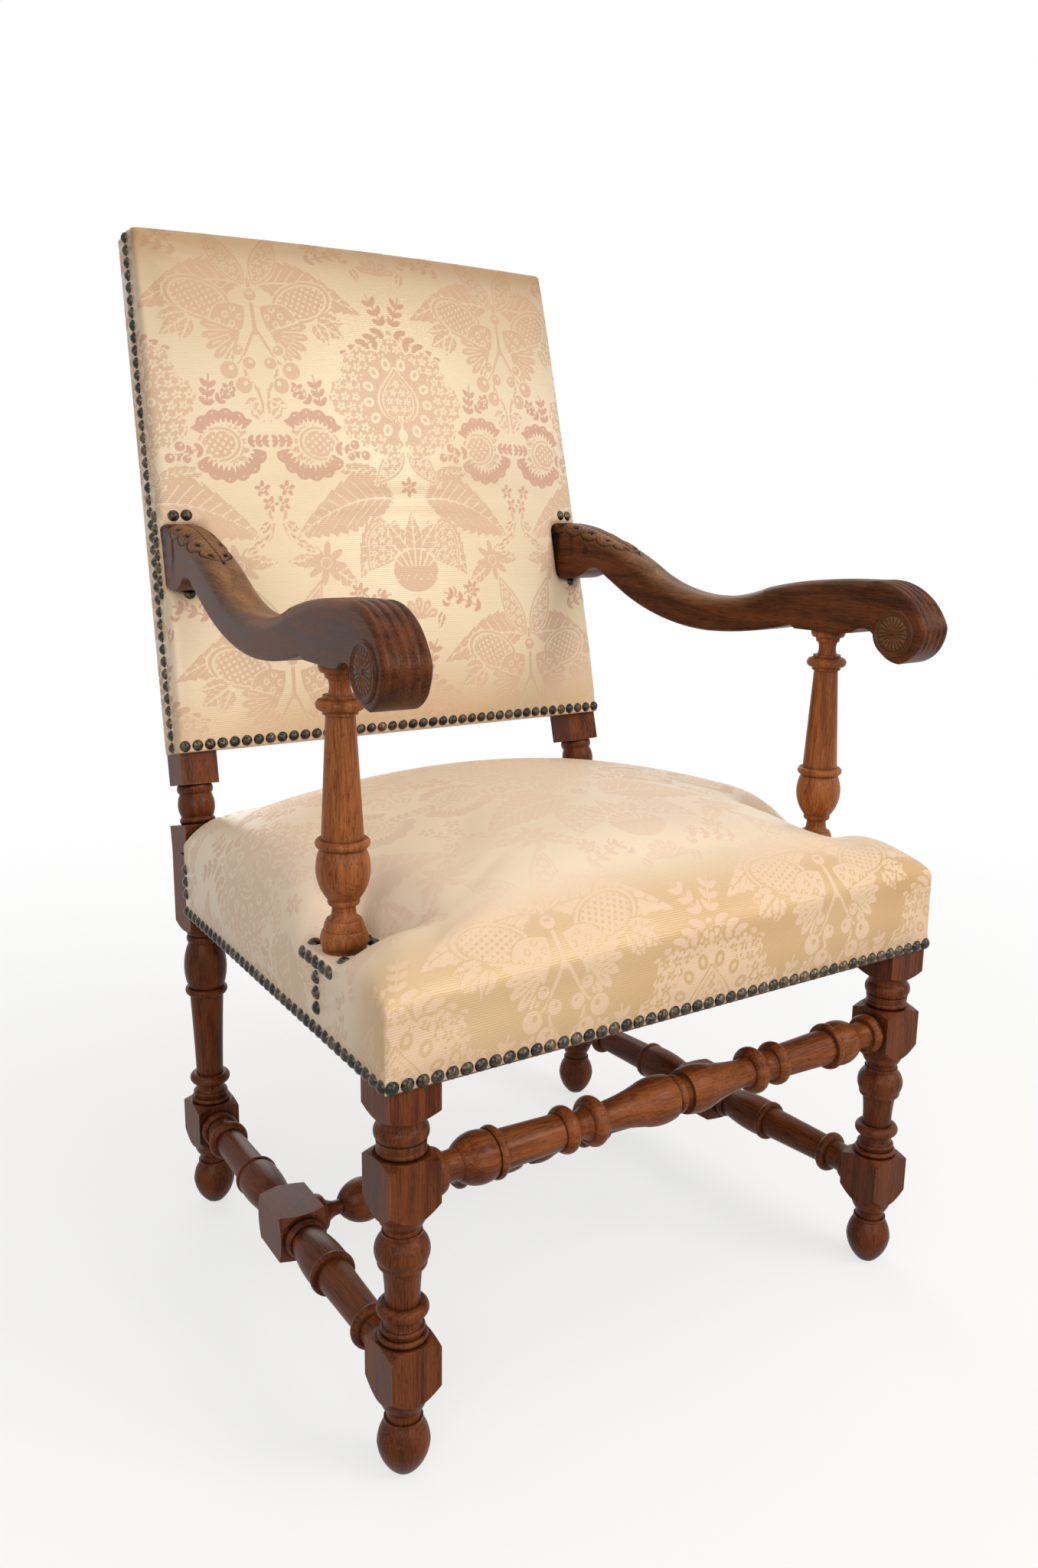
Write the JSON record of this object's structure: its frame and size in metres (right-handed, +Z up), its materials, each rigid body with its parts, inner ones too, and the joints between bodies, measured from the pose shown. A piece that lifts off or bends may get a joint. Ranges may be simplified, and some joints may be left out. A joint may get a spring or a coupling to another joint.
{
  "type": "open-arm chair",
  "caption": "Open-arm chair in turned walnut with scrolled arms, an H stretcher, and a damask seat and tall raked back edged with domed nails.",
  "frame": {"origin": "on the floor under the middle of the chair's box", "axes": "+Z up, the front faces -Y, +X to the right as seen from the front"},
  "size_m": [0.65, 0.7092, 1.1018],
  "materials": {
    "walnut": "waxed satin",
    "damask": "satin weave",
    "nail_brass": "dark antique",
    "webbing": "coarse jute",
    "hessian": "open weave",
    "stuffing": "matted fibre"
  },
  "bodies": {
    "root": {"front_leg_left": "walnut", "front_leg_right": "walnut", "rear_leg_left": "walnut", "rear_leg_right": "walnut", "front_stretcher": "walnut", "side_stretcher_left": "walnut", "side_stretcher_right": "walnut", "cross_stretcher": "walnut", "seat_rail_front": "walnut", "seat_rail_rear": "walnut", "seat_rail_left": "walnut", "seat_rail_right": "walnut", "back_rail_bottom": "walnut", "back_rail_top": "walnut", "arm_left": "walnut", "arm_right": "walnut", "arm_support_left": "walnut", "arm_support_right": "walnut", "arm_pegs": "walnut", "seat_cover": "damask", "back_cover": "damask", "outside_back_cover": "damask", "seat_nails": "nail_brass", "support_base_nails": "nail_brass", "back_nails": "nail_brass", "arm_end_nails": "nail_brass", "seat_webbing": "webbing", "back_webbing": "webbing", "seat_hessian": "hessian", "back_hessian": "hessian", "seat_stuffing": "stuffing", "back_stuffing": "stuffing"}
  },
  "joints": []
}
